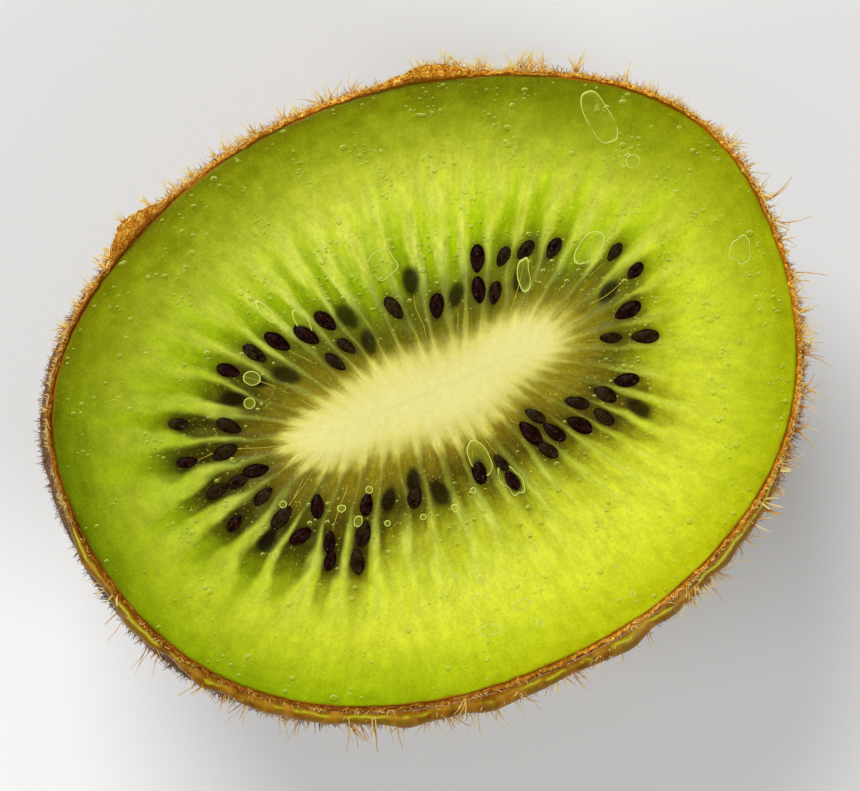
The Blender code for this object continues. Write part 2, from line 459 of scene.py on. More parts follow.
# The flesh: the cut face with its core and chambers, closed underneath inside the skin
fleshSettings = {
    "columns": 645,  # fifteen to a chamber
    "innermost": -0.165,
    "outermost": 0.984,
    "fineRows": 84,
    "fineTo": 0.45,
    "plainRows": 36,
    "wallDepths": (0.5, 1.6, 4, 8, 13, 18, 23, 27, 30, 32, 33.2),
    "wallInset": 0.3,
    "sink": 0.14,
    "edgeDip": 0.03,
    "lumps": ((0.035, 3.0, 3), (0.012, 0.8, 4)),  # height, size and draw
    "haze": (0.45, 0.3),  # the shade round a seed in the cut, and how far it reaches
    "sunkenHaze": (0.66, 1.30),  # where a sunken seed's shade starts to fade and ends
    "coreLobes": ((2, 0.016, 40), (3, 0.019, -3), (4, 0.0115, 12), (6, 0.0155, -148)),  # count, reach, degrees
    "pocketLeast": 0.17,  # how far out a chamber's dark pocket reaches without seeds
    "pocketPast": 0.05,  # and past its outermost seed
    "pocketFade": 0.28,  # the length of the green wedge past it
    "outUnits": 12,  # of the way out, in the space that the streaks are drawn in
}


def pocketEnds():
    ends = np.full(fruit["chambers"], fleshSettings["pocketLeast"])
    for seed in seeds:
        ends[seed["chamber"]] = max(ends[seed["chamber"]], seed["out"] + fleshSettings["pocketPast"])
    ends += np.random.default_rng(5).normal(0, 0.02, len(ends))
    return 0.15 * np.roll(ends, 1) + 0.7 * ends + 0.15 * np.roll(ends, -1)  # nearer to its neighbours


def fleshMaterial():
    material, tree, shader = newMaterial("kiwiFlesh", **{
        "Subsurface Weight": 0.2, "Subsurface Scale": 0.0008, "Subsurface Radius": (1.0, 1.2, 0.35),
        "Specular IOR Level": 0.05})
    place = placeOf(tree)
    around = attributeOf(tree, "around", "Vector")  # seamless: turn as a circle, and the way out
    out, pocket = attributeOf(tree, "out"), attributeOf(tree, "pocket")
    uv = tree.nodes.new("ShaderNodeUVMap")
    uv.uv_map = "chambers"
    parts = tree.nodes.new("ShaderNodeSeparateXYZ")
    feed(tree, parts.inputs[0], uv.outputs[0])
    long = stretched(tree, around, 0.26)

    # the chambers, a little crooked, and the walls between them
    wobble = uneven(tree, noiseOf(tree, long, 1.1, detail=2), 0.18)
    chamber = maths(tree, "MULTIPLY_ADD", parts.outputs[0], float(fruit["chambers"]), wobble)
    phase = maths(tree, "SUBTRACT", maths(tree, "FRACT", maths(tree, "ADD", chamber, 0.5)), 0.5)
    fromWall = maths(tree, "SUBTRACT", 0.5, maths(tree, "ABSOLUTE", phase))
    onWall = maths(tree, "MULTIPLY_ADD", fromWall, -2.0, 1.0)
    firm = level(tree, noiseOf(tree, long, 0.8, detail=1), 0.3, 0.6, 0.80, 1.0)
    nearWall = product(tree, onWall, firm)

    # colours of the flesh on its lit and shaded sides, from the seeds out to the skin
    drift = level(tree, noiseOf(tree, around, 1.6, detail=3), 0.25, 0.75, -0.05, 0.05)
    reach = maths(tree, "ADD", out, drift)
    lit = rampOf(tree, reach, (0.2, (182, 192, 28)), (0.35, (192, 202, 32)), (0.45, (204, 213, 38)),
                 (0.55, (216, 224, 50)), (0.65, (222, 230, 54)), (0.75, (220, 228, 48)),
                 (0.84, (212, 220, 36)), (0.92, (202, 209, 22)), (0.97, (190, 196, 10)), (1.02, (168, 172, 6)))
    shaded = rampOf(tree, reach, (0.2, (170, 186, 22)), (0.35, (184, 200, 26)), (0.45, (194, 209, 38)),
                    (0.53, (204, 216, 56)), (0.61, (200, 211, 58)), (0.69, (186, 197, 48)),
                    (0.77, (167, 178, 34)), (0.85, (148, 159, 18)), (0.92, (129, 138, 6)),
                    (0.97, (119, 124, 4)), (1.02, (104, 104, 3)))
    across = maths(tree, "MULTIPLY_ADD", uneven(tree, noiseOf(tree, place, 90.0, detail=2)), 0.004,
                   distanceTo(tree, place, "lit"))
    flesh = mixOf(tree, level(tree, across, -0.020, 0.022, smooth=True), shaded, lit)
    # painted shade: the flesh darker towards the left, round the rim of the low half away from the low right,
    # and on the right
    left = product(tree, towards(tree, place, "left", 0.005, 0.022), level(tree, out, 0.93, 0.60))
    flesh = shadeBy(tree, left, flesh, (0.63, 0.71, 0.36))
    green = product(tree, towards(tree, place, "lowRight", 0.014, 0.024, 1.0, 0.0),
                    towards(tree, place, "up", 0.006, -0.006), level(tree, out, 0.72, 0.99))
    flesh = shadeBy(tree, green, flesh, (0.58, 0.76, 0.3))
    right = product(tree, towards(tree, place, "right", 0.010, 0.022), level(tree, out, 0.25, 0.82))
    flesh = shadeBy(tree, right, flesh, (0.77, 0.80, 0.56))

    # the dark pockets round the seeds, and the deep green wedges past them
    depth = maths(tree, "MULTIPLY_ADD", drift, 2.0, pocket)
    inner = rampOf(tree, depth, (0.0, (156, 142, 34)), (0.2, (142, 126, 22)), (0.45, (122, 110, 16)),
                   (0.75, (80, 75, 9)), (0.95, (84, 85, 8)), (1.2, (118, 130, 7)), (1.45, (140, 158, 8)),
                   (1.9, (162, 184, 12)))
    innerLow = rampOf(tree, depth, (0.0, (158, 142, 34)), (0.25, (142, 124, 24)), (0.6, (104, 90, 12)),
                      (0.9, (83, 73, 9)), (1.1, (114, 107, 12)), (1.3, (146, 146, 18)),
                      (1.6, (176, 182, 28)), (2.0, (194, 205, 36)))
    innerTop = rampOf(tree, depth, (0.0, (132, 124, 22)), (0.2, (104, 100, 14)), (0.45, (98, 98, 13)),
                      (0.8, (110, 120, 14)), (1.0, (124, 138, 11)), (1.2, (140, 161, 9)),
                      (1.45, (151, 177, 11)), (1.9, (168, 192, 18)))
    low = towards(tree, place, "low", 0.000, 0.008, smooth=True)
    inner = mixOf(tree, low, inner, innerLow)
    onTop = product(tree, towards(tree, place, "up", -0.001, 0.006, smooth=True),
                    towards(tree, place, "rightOfCore", 0.012, 0.005, 0.35, 1.0))
    inner = mixOf(tree, onTop, inner, innerTop)
    rightTop = product(tree, towards(tree, place, "upRight", 0.005, 0.011),
                       towards(tree, place, "up", -0.001, 0.004))
    inner = shadeBy(tree, rightTop, inner, (1.34, 1.34, 1.0))
    leftEnd = product(tree, towards(tree, place, "leftEnd", 0.006, 0.014), level(tree, depth, 1.5, 0.9))
    inner = shadeBy(tree, leftEnd, inner, (0.60, 0.58, 0.46))

    # the pale walls between them, and their streaks out into the flesh
    walls = rampOf(tree, out, (-0.02, (196, 190, 80)), (0.05, (160, 154, 54)), (0.12, (140, 142, 54)),
                   (0.22, (142, 152, 54)), (0.32, (184, 198, 62)), (0.45, (204, 215, 68)))
    walls = mixOf(tree, level(tree, out, 0.28, 0.48), walls, flesh)
    walls = shadeBy(tree, product(tree, low, level(tree, out, 0.5, 0.34)), walls, (0.86, 0.80, 0.5))
    streak = level(tree, noiseOf(tree, long, 2.6, detail=3, roughness=0.6), 0.36, 0.66, smooth=True)
    leftPart = towards(tree, place, "left", 0.008, 0.018, 1.0, 0.2)
    streak = product(tree, streak, curveOf(tree, out, (0.22, 0.0), (0.34, 0.62), (0.5, 0.5), (0.75, 0.0)),
                     towards(tree, place, "rightEnd", 0.004, 0.012, 1.0, 0.25), leftPart,
                     maths(tree, "MULTIPLY_ADD", low, -0.35, 1.0))
    walls = mixOf(tree, streak, walls, tint(225, 232, 106))
    narrow = curveOf(tree, depth, (0.0, 0.52), (0.25, 0.58), (0.6, 0.56), (1.0, 0.44), (1.4, 0.32),
                     (1.9, 0.16), (2.5, 0.0))
    soft = curveOf(tree, depth, (0.0, 0.34), (0.6, 0.42), (1.0, 0.42), (2.5, 0.46))
    wedge = level(tree, nearWall, maths(tree, "ADD", narrow, soft), narrow, smooth=True)
    plain = product(tree, low, 0.35, level(tree, depth, 1.2, 1.7))
    wedge = product(tree, wedge, level(tree, depth, 2.5, 1.5), maths(tree, "SUBTRACT", 1.0, plain))
    colour = mixOf(tree, wedge, walls, inner)
    line = product(tree, level(tree, nearWall, 0.80, 0.94, smooth=True),
                   curveOf(tree, out, (0.2, 0.0), (0.3, 0.38), (0.5, 0.34), (0.72, 0.0)), leftPart)
    colour = mixOf(tree, line, colour, tint(208, 222, 100))
    veil = product(tree, level(tree, noiseOf(tree, long, 1.7, detail=2), 0.5, 0.75, 0.0, 0.45),
                   level(tree, pocket, 1.15, 0.8))
    colour = mixOf(tree, veil, colour, tint(116, 124, 36))

    # the core, whose pale flesh runs a little way out along each wall
    blunt = product(tree, level(tree, onWall, 0.15, 0.85, smooth=True),
                    towards(tree, place, "up", 0.006, -0.004, 0.4, 1.0))
    edge = maths(tree, "MULTIPLY_ADD", blunt, -0.034, attributeOf(tree, "fromCore"))
    fingers = product(tree, uneven(tree, noiseOf(tree, long, 4.5, detail=2)),
                      towards(tree, place, "up", 0.004, -0.004, 0.4, 1.0))
    edge = maths(tree, "MULTIPLY_ADD", fingers, 0.014, edge)
    edge = maths(tree, "MULTIPLY_ADD", uneven(tree, noiseOf(tree, place, 1400.0, detail=3)), 0.008, edge)
    core = rampOf(tree, edge, (-0.15, (236, 229, 146)), (-0.09, (233, 226, 138)), (-0.05, (226, 219, 118)),
                  (-0.01, (212, 204, 92)), (0.04, (184, 174, 62)))
    softEnd = product(tree, towards(tree, place, "alongCore", 0.007, 0.013, 1.0, 0.55),
                      towards(tree, place, "up", 0.0, 0.006, 1.0, 0.7))
    inCore = level(tree, product(tree, edge, softEnd), 0.042, -0.036, smooth=True)
    colour = mixOf(tree, inCore, colour, core)

    # fibres that run outwards, strongest among the seeds, and grains and pale specks
    fibres = noiseOf(tree, long, 4.0, detail=4, roughness=0.6)
    amount = curveOf(tree, out, (-0.05, 0.0), (0.03, 0.18), (0.2, 0.26), (0.4, 0.18), (0.6, 0.14), (1.0, 0.08))
    swing = product(tree, uneven(tree, fibres), amount)
    mottle = uneven(tree, noiseOf(tree, place, 500.0, detail=4, roughness=0.6), 0.038)
    grain = uneven(tree, noiseOf(tree, place, 4200.0, detail=2), 0.08)
    tone = product(tree, maths(tree, "ADD", mottle, grain), level(tree, edge, -0.06, 0.03, 0.45, 1.0))
    tone = maths(tree, "ADD", maths(tree, "ADD", 1.0, swing), tone)
    colour = mixOf(tree, 1.0, colour, tone, "MULTIPLY")
    specks = product(tree, level(tree, noiseOf(tree, place, 5200.0, detail=1), 0.67, 0.74, 0.0, 0.5),
                     curveOf(tree, out, (-0.02, 0.0), (0.08, 1.0), (0.4, 1.0), (0.6, 0.45), (1, 0.35)))
    colour = mixOf(tree, specks, colour, tint(214, 224, 96))

    # the seeds' shade, and the brown line where the skin was cut
    through = level(tree, noiseOf(tree, place, 1500.0, detail=3, roughness=0.6), 0.36, 0.66, 1.0, 0.93)
    colour = mixOf(tree, product(tree, attributeOf(tree, "haze"), through), colour, tint(24, 16, 3))
    browning = level(tree, maths(tree, "MULTIPLY_ADD", drift, 0.08, out), 0.974, 0.984, smooth=True)
    feed(tree, shader.inputs["Base Color"], mixOf(tree, browning, colour, tint(176, 106, 18)))

    rough = level(tree, noiseOf(tree, place, 900.0, detail=2), 0.3, 0.7, 0.22, 0.34)
    feed(tree, shader.inputs["Roughness"], rough)
    height = maths(tree, "ADD", product(tree, fibres, 0.2), product(tree, wedge, -0.3))
    height = maths(tree, "MULTIPLY_ADD", grain, 3.0, height)
    feed(tree, shader.inputs["Normal"], bumpOf(tree, height, 0.3, 0.00012))
    return material


def fleshPlaces(column, row):
    s = fleshSettings
    fine = np.linspace(s["innermost"], s["fineTo"], s["fineRows"])
    plain = np.linspace(s["fineTo"], s["outermost"], s["plainRows"])[1:]
    outs = np.concatenate([fine, plain, np.full(len(s["wallDepths"]), s["outermost"])])
    depths = np.concatenate([np.zeros(len(fine) + len(plain)), s["wallDepths"]])
    chamber = column * fruit["chambers"] / s["columns"]
    turn = turnOf(chamber)
    out, depth = outs[row], depths[row]
    phase = 1 - 2 * np.abs((chamber + 0.5) % 1.0 - 0.5)
    onFace = facePoint(turn, out)
    inside = domePoint(turn, depth)
    inside -= unit(inside) * s["wallInset"]
    flat = np.where((depth > 0)[:, None], inside, onFace)
    rise = riseAt(out, phase) - s["edgeDip"] * smoothStep(out, 0.93, s["outermost"])
    rise += lumpsOf(onFace, s["lumps"])
    haze = np.zeros(len(flat))
    for seed in seeds:
        away = seedDistance(flat, seed)
        near = away < 4  # past this the shade is nothing
        if seed["sunken"]:
            shade = seed["shade"] * (1 - smoothStep(away[near], *s["sunkenHaze"]))
        else:
            # painted shade round a seed in the cut
            shade = s["haze"][0] * np.exp(-np.maximum(away[near] - 0.9, 0) / s["haze"][1])
        haze[near] = 1 - (1 - haze[near]) * (1 - shade)
    haze[depth > 0] = 0
    ends = pocketEnds()
    end = np.interp(chamber, np.arange(len(ends) + 1), np.append(ends, ends[0]))
    pocket = np.where(out < end, out / end, 1 + (out - end) / s["pocketFade"])
    height = fruit["height"] + np.where(depth > 0, -depth, rise)
    radius = fruit["chambers"] / fullTurn  # a unit along the circle is one chamber
    angle = fullTurn * chamber / fruit["chambers"]
    around = np.stack([radius * np.cos(angle), radius * np.sin(angle), s["outUnits"] * out], axis=1)
    lobes = sum(size * np.sin(count * turn + math.radians(begin)) for count, size, begin in s["coreLobes"])
    values = {"out": out, "pocket": pocket, "around": around, "haze": haze, "fromCore": out - 0.01 - lobes}
    return inFrame(flat, height), values


def makeFlesh():
    s = fleshSettings
    rows = s["fineRows"] + s["plainRows"] - 1 + len(s["wallDepths"]) - 1
    mesh = wrappedSheet("kiwiFlesh", s["columns"], rows, fleshPlaces)
    flesh = showPiece("kiwiFlesh", mesh, fleshMaterial())
    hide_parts("kiwi_half")
    return flesh


# The skin: a thin shell from its ragged cut lip down to the flat spot it stands on
skinSettings = {
    "columns": 1161,  # twenty-seven to a chamber
    "innerDepths": (32.9, 30, 24, 16, 8, 3, 0.8),
    "lipRings": 7,
    "depths": (0.2, 0.45, 0.8, 1.2, 1.7, 2.3, 3.0),
    "domeRows": 52,
    "lumps": ((0.07, 2.6, 11), (0.035, 0.7, 12)),  # height, size and draw
    "crust": ((0.06, 1.1, 13), (0.045, 0.4, 14)),  # and those of the torn lip
    "lipShape": ((0, 0.17, 0.5, 1), (0, 0.8, 1.05, 0.6)),  # the way over the lip, and its height there
}


def skinMaterial():
    material, tree, shader = newMaterial("kiwiSkin", **{
        "Subsurface Weight": 0.06, "Subsurface Scale": 0.0006, "Subsurface Radius": (1.0, 0.6, 0.2),
        "Specular IOR Level": 0.08})
    place = placeOf(tree)
    blotch = noiseOf(tree, place, 240.0, detail=4, roughness=0.6)
    speck = noiseOf(tree, place, 2200.0, detail=3, roughness=0.65)
    over = maths(tree, "MULTIPLY_ADD", uneven(tree, speck), 0.30, attributeOf(tree, "over"))
    # the skin's golden browns over the lip and down the dome, lighter just under the cut with a painted glow
    # of light through the thin skin there
    colour = rampOf(tree, over, (0.0, (176, 104, 16)), (0.2, (196, 120, 20)), (0.45, (206, 132, 28)),
                    (0.8, (214, 148, 46)), (1.15, (190, 128, 42)), (1.4, (146, 98, 34)), (2.0, (122, 84, 36)))
    strands = noiseOf(tree, stretched(tree, place, 0.3), 3200.0, detail=2, roughness=0.7, distortion=1.5)
    lace = rampOf(tree, strands, (0.32, (160, 70, 4)), (0.43, (212, 120, 14)), (0.52, (242, 168, 40)),
                  (0.64, (255, 220, 104)))
    laced = curveOf(tree, over, (0.1, 0.0), (0.5, 0.7), (1.0, 0.95), (1.2, 0.6), (1.6, 0.0))
    colour = mixOf(tree, laced, colour, lace)
    low = product(tree, towards(tree, place, "lowLeft", 0.002, 0.018, 0.0, 0.85),
                  level(tree, over, 1.8, 1.1, 0.3, 1.0))
    colour = shadeBy(tree, low, colour, (0.34, 0.24, 0.10))
    patches = level(tree, blotch, 0.3, 0.7, 0.72, 1.24)
    fuzzy = level(tree, strands, 0.35, 0.65, 0.74, 1.26)
    colour = mixOf(tree, 1.0, colour, product(tree, patches, fuzzy), "MULTIPLY")
    dots = level(tree, speck, 0.62, 0.70, 0.0, 0.5, smooth=True)
    feed(tree, shader.inputs["Base Color"], mixOf(tree, dots, colour, tint(62, 36, 14)))
    feed(tree, shader.inputs["Roughness"], level(tree, speck, 0.3, 0.7, 0.35, 0.75))
    relief = maths(tree, "ADD", maths(tree, "ADD", blotch, speck), strands)
    feed(tree, shader.inputs["Normal"], bumpOf(tree, relief, 0.9, 0.00025))
    return material


def skinPlaces(column, row):
    s = skinSettings
    turn = turnOf(column * fruit["chambers"] / s["columns"])
    span = fruit["height"] - s["depths"][-1]
    steps = np.arange(1, s["domeRows"] + 1) / s["domeRows"]
    outer = np.concatenate([s["depths"], s["depths"][-1] + span * np.sin(0.5 * math.pi * steps)])
    inner = np.array(s["innerDepths"])
    lip = np.linspace(0, 1, s["lipRings"])
    depth = np.concatenate([inner, np.zeros(len(lip)), outer])[row]
    over = np.concatenate([np.zeros(len(inner)), lip, 1 + outer / 3])[row]  # 0 inside, 0 to 1 over the lip
    isInner = row < len(inner)
    isLip = (row >= len(inner)) & (row < len(inner) + len(lip))
    edge = facePoint(turn, 1.0)
    outward = unit(edge)
    rise = fruit["skinProud"] + fruit["skinRagged"] * lipHeight(turn) + fruit["flapLift"] * flapAt(turn)
    reach = 0.5 * fruit["skinRagged"] * lipWidth(turn) + flapAt(turn)
    onLip = edge + outward * (reach * over - fruit["skinThick"] * (1 - over))[:, None]
    lift = rise * np.interp(over, *s["lipShape"]) - 0.2 * (over == 0)
    dome = domePoint(turn, depth)
    away = dome / np.maximum(np.linalg.norm(dome, axis=1, keepdims=True), 1e-6)
    dome = dome + away * (flapBelow(turn, depth) * ~isInner)[:, None]
    dome = dome - away * (fruit["skinThick"] * isInner)[:, None]
    flat = np.where(isLip[:, None], onLip, dome)
    points = inFrame(flat, fruit["height"] + np.where(isLip, lift, -depth))
    torn = lumpsOf(points, s["crust"])
    torn *= (over > 0.1) * np.exp(-depth / 0.7) * ~isInner
    lumps = lumpsOf(points, s["lumps"])
    lumps = (lumps * ~isInner * ~isLip) * smoothStep(fruit["height"] - depth, 0.0, 2.0) + torn
    points[:, :2] += away * lumps[:, None]
    points[:, 2] += np.where(isLip, 0.8 * torn, 0)
    points[:, 2] = np.maximum(points[:, 2], 0)
    return points, {"over": over}


def makeSkin():
    s = skinSettings
    rows = len(s["innerDepths"]) + s["lipRings"] + len(s["depths"]) + s["domeRows"] - 1
    mesh = wrappedSheet("kiwiSkin", s["columns"], rows, skinPlaces)
    return showPiece("kiwiSkin", mesh, skinMaterial())


# The seeds, teardrops with their points towards the core
def seedMaterial():
    material, tree, shader = newMaterial("kiwiSeed", **{"Specular IOR Level": 0.05})
    place = placeOf(tree)
    pits = noiseOf(tree, place, 3000.0, detail=2)
    colour = rampOf(tree, pits, (0.3, (12, 1, 0)), (0.55, (28, 2, 1)), (0.7, (46, 10, 3)))
    film = level(tree, noiseOf(tree, place, 1500.0, detail=3, roughness=0.6), 0.36, 0.66)
    colour = mixOf(tree, product(tree, film, attributeOf(tree, "veiled")), colour, tint(46, 38, 10))
    # painted glints: pale pinpoint specks on the seeds
    glints = level(tree, noiseOf(tree, place, 7500.0, detail=1), 0.69, 0.74, 0.0, 0.5)
    feed(tree, shader.inputs["Base Color"], mixOf(tree, glints, colour, tint(136, 130, 60)))
    feed(tree, shader.inputs["Roughness"], level(tree, pits, 0.3, 0.7, 0.30, 0.5))
    feed(tree, shader.inputs["Normal"], bumpOf(tree, pits, 0.5, 0.00008))
    return material


def makeSeeds():
    s = seedSettings
    template = bmesh.new()
    bmesh.ops.create_uvsphere(template, u_segments=18, v_segments=12, radius=0.5)
    bmesh.ops.rotate(template, verts=template.verts, matrix=Matrix.Rotation(math.radians(90), 3, "Y"))
    points = templatePoints(template)
    shape = points * (s["length"], s["width"], s["thick"])
    shape[:, 1:] *= 0.97 + np.where(points[:, :1] < 0, 0.45, 0.1) * points[:, :1]
    copies, veils = [], []
    rng = np.random.default_rng(21)
    for seed in seeds:
        if seed["sunken"]:
            continue
        pitch = rng.normal(0, 0.10)
        leaning = shape.copy()
        leaning[:, 2] += shape[:, 0] * math.sin(pitch)
        along, across = math.cos(seed["heading"]), math.sin(seed["heading"])
        turned = leaning @ np.array([[along, across, 0], [-across, along, 0], [0, 0, 1]]) * seed["size"]
        veiled = rng.uniform() < s["veiled"]
        copies.append(turned + inFrame(seed["spot"], fruit["height"] - s["sunk"] - 0.06 * veiled))
        veils.append(rng.uniform(0.75, 1.0) if veiled else rng.uniform(0.0, 0.12))
    mesh = repeated("kiwiSeeds", template, np.array(copies))
    keepValue(mesh, "veiled", np.repeat(veils, len(points)))
    return showPiece("kiwiSeeds", mesh, seedMaterial())


# The threads that tie the seeds to the core
threadSettings = {
    "share": 0.24,  # of the seeds that have one
    "width": 0.03,
    "slices": 12,
    "sway": 0.22,
    "endDip": 0.12,  # its end sinks into the core
    "seed": 23,
}


def threadMaterial():
    material, tree, shader = newMaterial("seedThread", **{"Roughness": 0.35, "Specular IOR Level": 0.3})
    colour = rampOf(tree, attributeOf(tree, "along"), (0.0, (184, 140, 30)), (0.25, (206, 190, 60)),
                    (1.0, (220, 214, 96)))
    feed(tree, shader.inputs["Base Color"], colour)
    return material


def makeThreads():
    s = threadSettings
    rng = np.random.default_rng(s["seed"])
    template = rod(5, 0.5, [cut / s["slices"] for cut in range(1, s["slices"])])
    x, y, z = templatePoints(template).T
    threads = []
    for seed in seeds:
        if rng.uniform() > s["share"]:
            continue
        far = seed["distance"] - 0.45 * seedSettings["length"]
        near = rng.uniform(-0.6, 0.5)
        distance = far + (near - far) * z
        sway = s["sway"] * rng.normal() * np.sin(math.pi * z) + 0.1 * rng.normal() * np.sin(fullTurn * z)
        sideways = np.array([-seed["outward"][1], seed["outward"][0]])
        flat = seed["start"] + np.outer(distance, seed["outward"]) + np.outer(sway + s["width"] * x, sideways)
        rise = riseAt(distance / seed["span"], 1.0)
        height = fruit["height"] + rise + s["width"] * (0.6 + y) - s["endDip"] * (z == 1)
        threads.append(inFrame(flat, height))
    mesh = repeated("seedThreads", template, np.array(threads))
    keepValue(mesh, "along", np.tile(z, len(threads)))
    return showPiece("seedThreads", mesh, threadMaterial())


# The hairs of the skin: short fuzz all over, tufts, wet spikes and torn fibres round the cut,
# and long hairs below its low side
hairDefaults = {
    "cuts": (0.35, 0.7),  # where a hair can bend
    "down": 0.2,
    "up": 0.1,
    "aside": 0.4,
    "curl": 0.3,
    "thickest": math.radians(15),  # the turn at which there are most
    "gathered": 1,  # and how closely they keep to it
    "least": 0.8,  # the share of them on the far side
    "patchy": 0.8,
    "tip": 0.4,
    "inset": 0.06,
    "goldenGlowDepth": 2.2,  # those nearer the cut than this are golden, with a painted glow of light through them
}
hairSettings = {
    "skinFuzz": {
        "clumps": 6400, "each": 4, "seed": 31, "depths": (0.3, 31.0), "length": (0.35, 1.0), "width": 0.042,
        "cuts": (), "spread": 0.35, "down": 0.9, "up": 0.0, "aside": 0.2, "curl": 0.22, "least": 1.0,
        "patchy": 0.0, "shades": (0.0, 0.14),
    },
    "rimTufts": {
        "clumps": 250, "each": 5, "seed": 32, "depths": (-0.1, 1.0), "length": (0.6, 2.3), "width": 0.07,
        "spread": 0.07, "down": 0.25, "curl": 0.4, "least": 0.45, "shades": (0.25, 1.0),
    },
    "wetSpikes": {
        "clumps": 90, "each": 3, "seed": 34, "depths": (-0.1, 0.7), "length": (0.9, 2.3), "width": 0.13,
        "spread": 0.07, "up": 0.15, "aside": 0.45, "least": 0.35, "patchy": 0.9, "shades": (0.4, 1.0),
    },
    "lowHairs": {
        "clumps": 420, "each": 3, "seed": 35, "depths": (0.7, 2.0), "length": (2.0, 3.1), "width": 0.075,
        "spread": 0.15, "aside": 0.35, "least": 0.0, "patchy": 0.35, "shades": (0.1, 0.5),
        "thickest": math.radians(-92), "gathered": 3,
    },
    "lipFibres": {
        "clumps": 2500, "each": 3, "seed": 33, "depths": (-0.12, 0.7), "length": (0.2, 0.55), "width": 0.05,
        "spread": 0.16, "down": 0.0, "up": 0.3, "aside": 1.4, "curl": 0.5, "patchy": 0.5,
        "shades": (0.22, 1.0),
    },
}


def hairMaterial():
    material, tree, shader = newMaterial("kiwiHair", **{"Roughness": 0.35, "Specular IOR Level": 0.2})
    shade = attributeOf(tree, "shade")
    # hair colours from root to tip: the fuzz's own browns at the lowest shades, then golden to cream, the
    # hairs' colour with a painted glow of light through them, lightest at the tips
    root = rampOf(tree, shade, (0.0, (112, 74, 30)), (0.12, (138, 92, 38)), (0.25, (190, 90, 6)),
                  (0.6, (240, 140, 16)), (1.0, (255, 190, 50)))
    tip = rampOf(tree, shade, (0.0, (160, 116, 62)), (0.12, (192, 148, 86)), (0.25, (238, 160, 34)),
                 (0.6, (255, 216, 90)), (1.0, (255, 248, 180)))
    colour = mixOf(tree, attributeOf(tree, "along"), root, tip)
    low = product(tree, towards(tree, placeOf(tree), "lowLeft", 0.006, 0.022, 0.0, 0.7),
                  level(tree, shade, 0.3, 0.9, 1.0, 0.2))
    feed(tree, shader.inputs["Base Color"], shadeBy(tree, low, colour, (0.5, 0.4, 0.2)))
    return material


def makeHairs(name, material):
    s = {**hairDefaults, **hairSettings[name]}
    rng = np.random.default_rng(s["seed"])

    # where the clumps stand, and where each of their hairs does
    clumps = s["clumps"]
    turn = turnOf(rng.uniform(0, fruit["chambers"], clumps))
    low, high = s["depths"]
    depth = rng.uniform(low, high, clumps)
    thick = (0.5 + 0.5 * np.cos(turn - s["thickest"])) ** s["gathered"]
    thick = s["least"] + (1 - s["least"]) * thick
    thick *= 1 - s["patchy"] * smoothStep(ragged(random.Random(s["seed"]))(turn), -0.4, 0.7)
    keep = rng.uniform(0, 1, clumps) < np.maximum(domeScale(depth), 0.25) * thick
    turn, depth = turn[keep], depth[keep]
    count = len(turn) * s["each"]
    turn = np.repeat(turn, s["each"]) + rng.normal(0, s["spread"] / 26, count)  # 26 mm from the axis
    depth = np.repeat(depth, s["each"]) + rng.normal(0, s["spread"], count)
    clumpWay = np.repeat(rng.normal(0, 0.35, (count // s["each"], 3)), s["each"], axis=0)
    clumpLength = np.repeat(rng.uniform(*s["length"], count // s["each"]), s["each"])
    lift = np.clip(-depth, 0, 0.2)
    depth = np.clip(depth, 0.0, high)
    height = fruit["height"] - depth
    flat = domePoint(turn, depth)
    roots = inFrame(flat, height + lift)
    roots[:, :2] += unit(roots[:, :2]) * (flapBelow(turn, depth) - s["inset"])[:, None]

    # the ways they grow, from the skin's own directions there
    here = inFrame(flat, height)
    step = 0.02
    beside = inFrame(domePoint(turn + step, depth), height) - here
    below = inFrame(domePoint(turn, depth + step), height - step) - here
    normal = unit(np.cross(below, beside))
    fall = s["down"] * rng.uniform(0.2, 1.3, count) - s["up"] * rng.uniform(0, 1.5, count)
    way = normal + unit(below) * fall[:, None]
    across = s["aside"] * rng.normal(size=count)
    way += unit(beside) * across[:, None] + clumpWay + rng.normal(0, 0.15, (count, 3))
    way = unit(way)
    length = clumpLength * rng.uniform(0.45, 1, count)
    bend = rng.normal(0, s["curl"], (count, 3))
    bend -= way * np.sum(bend * way, axis=1, keepdims=True)
    side = unit(np.cross(way, rng.normal(size=(count, 3))))
    other = np.cross(way, side)

    template = rod(3, s["tip"], s["cuts"])
    x, y, z = templatePoints(template).T
    width = s["width"] * rng.uniform(0.6, 1.3, count)
    centre = z[None, :, None] * way[:, None] + z[None, :, None] ** 2 * bend[:, None]
    centre = roots[:, None] + length[:, None, None] * centre
    cross = x[None, :, None] * side[:, None] + y[None, :, None] * other[:, None]
    hairs = centre + cross * width[:, None, None]
    hairs[..., 2] = np.maximum(hairs[..., 2], 0.05)  # clear of the floor
    mesh = repeated(name, template, hairs)
    keepValue(mesh, "along", np.tile(z, count))
    # hairs near the cut are painted lighter and golden, a painted glow of light through them
    golden = 0.5 * np.exp(-(depth / s["goldenGlowDepth"]) ** 2)
    shade = np.minimum(rng.uniform(*s["shades"], count) + golden, 1)
    keepValue(mesh, "shade", np.repeat(shade, len(z)))
    return showPiece(name, mesh, material)
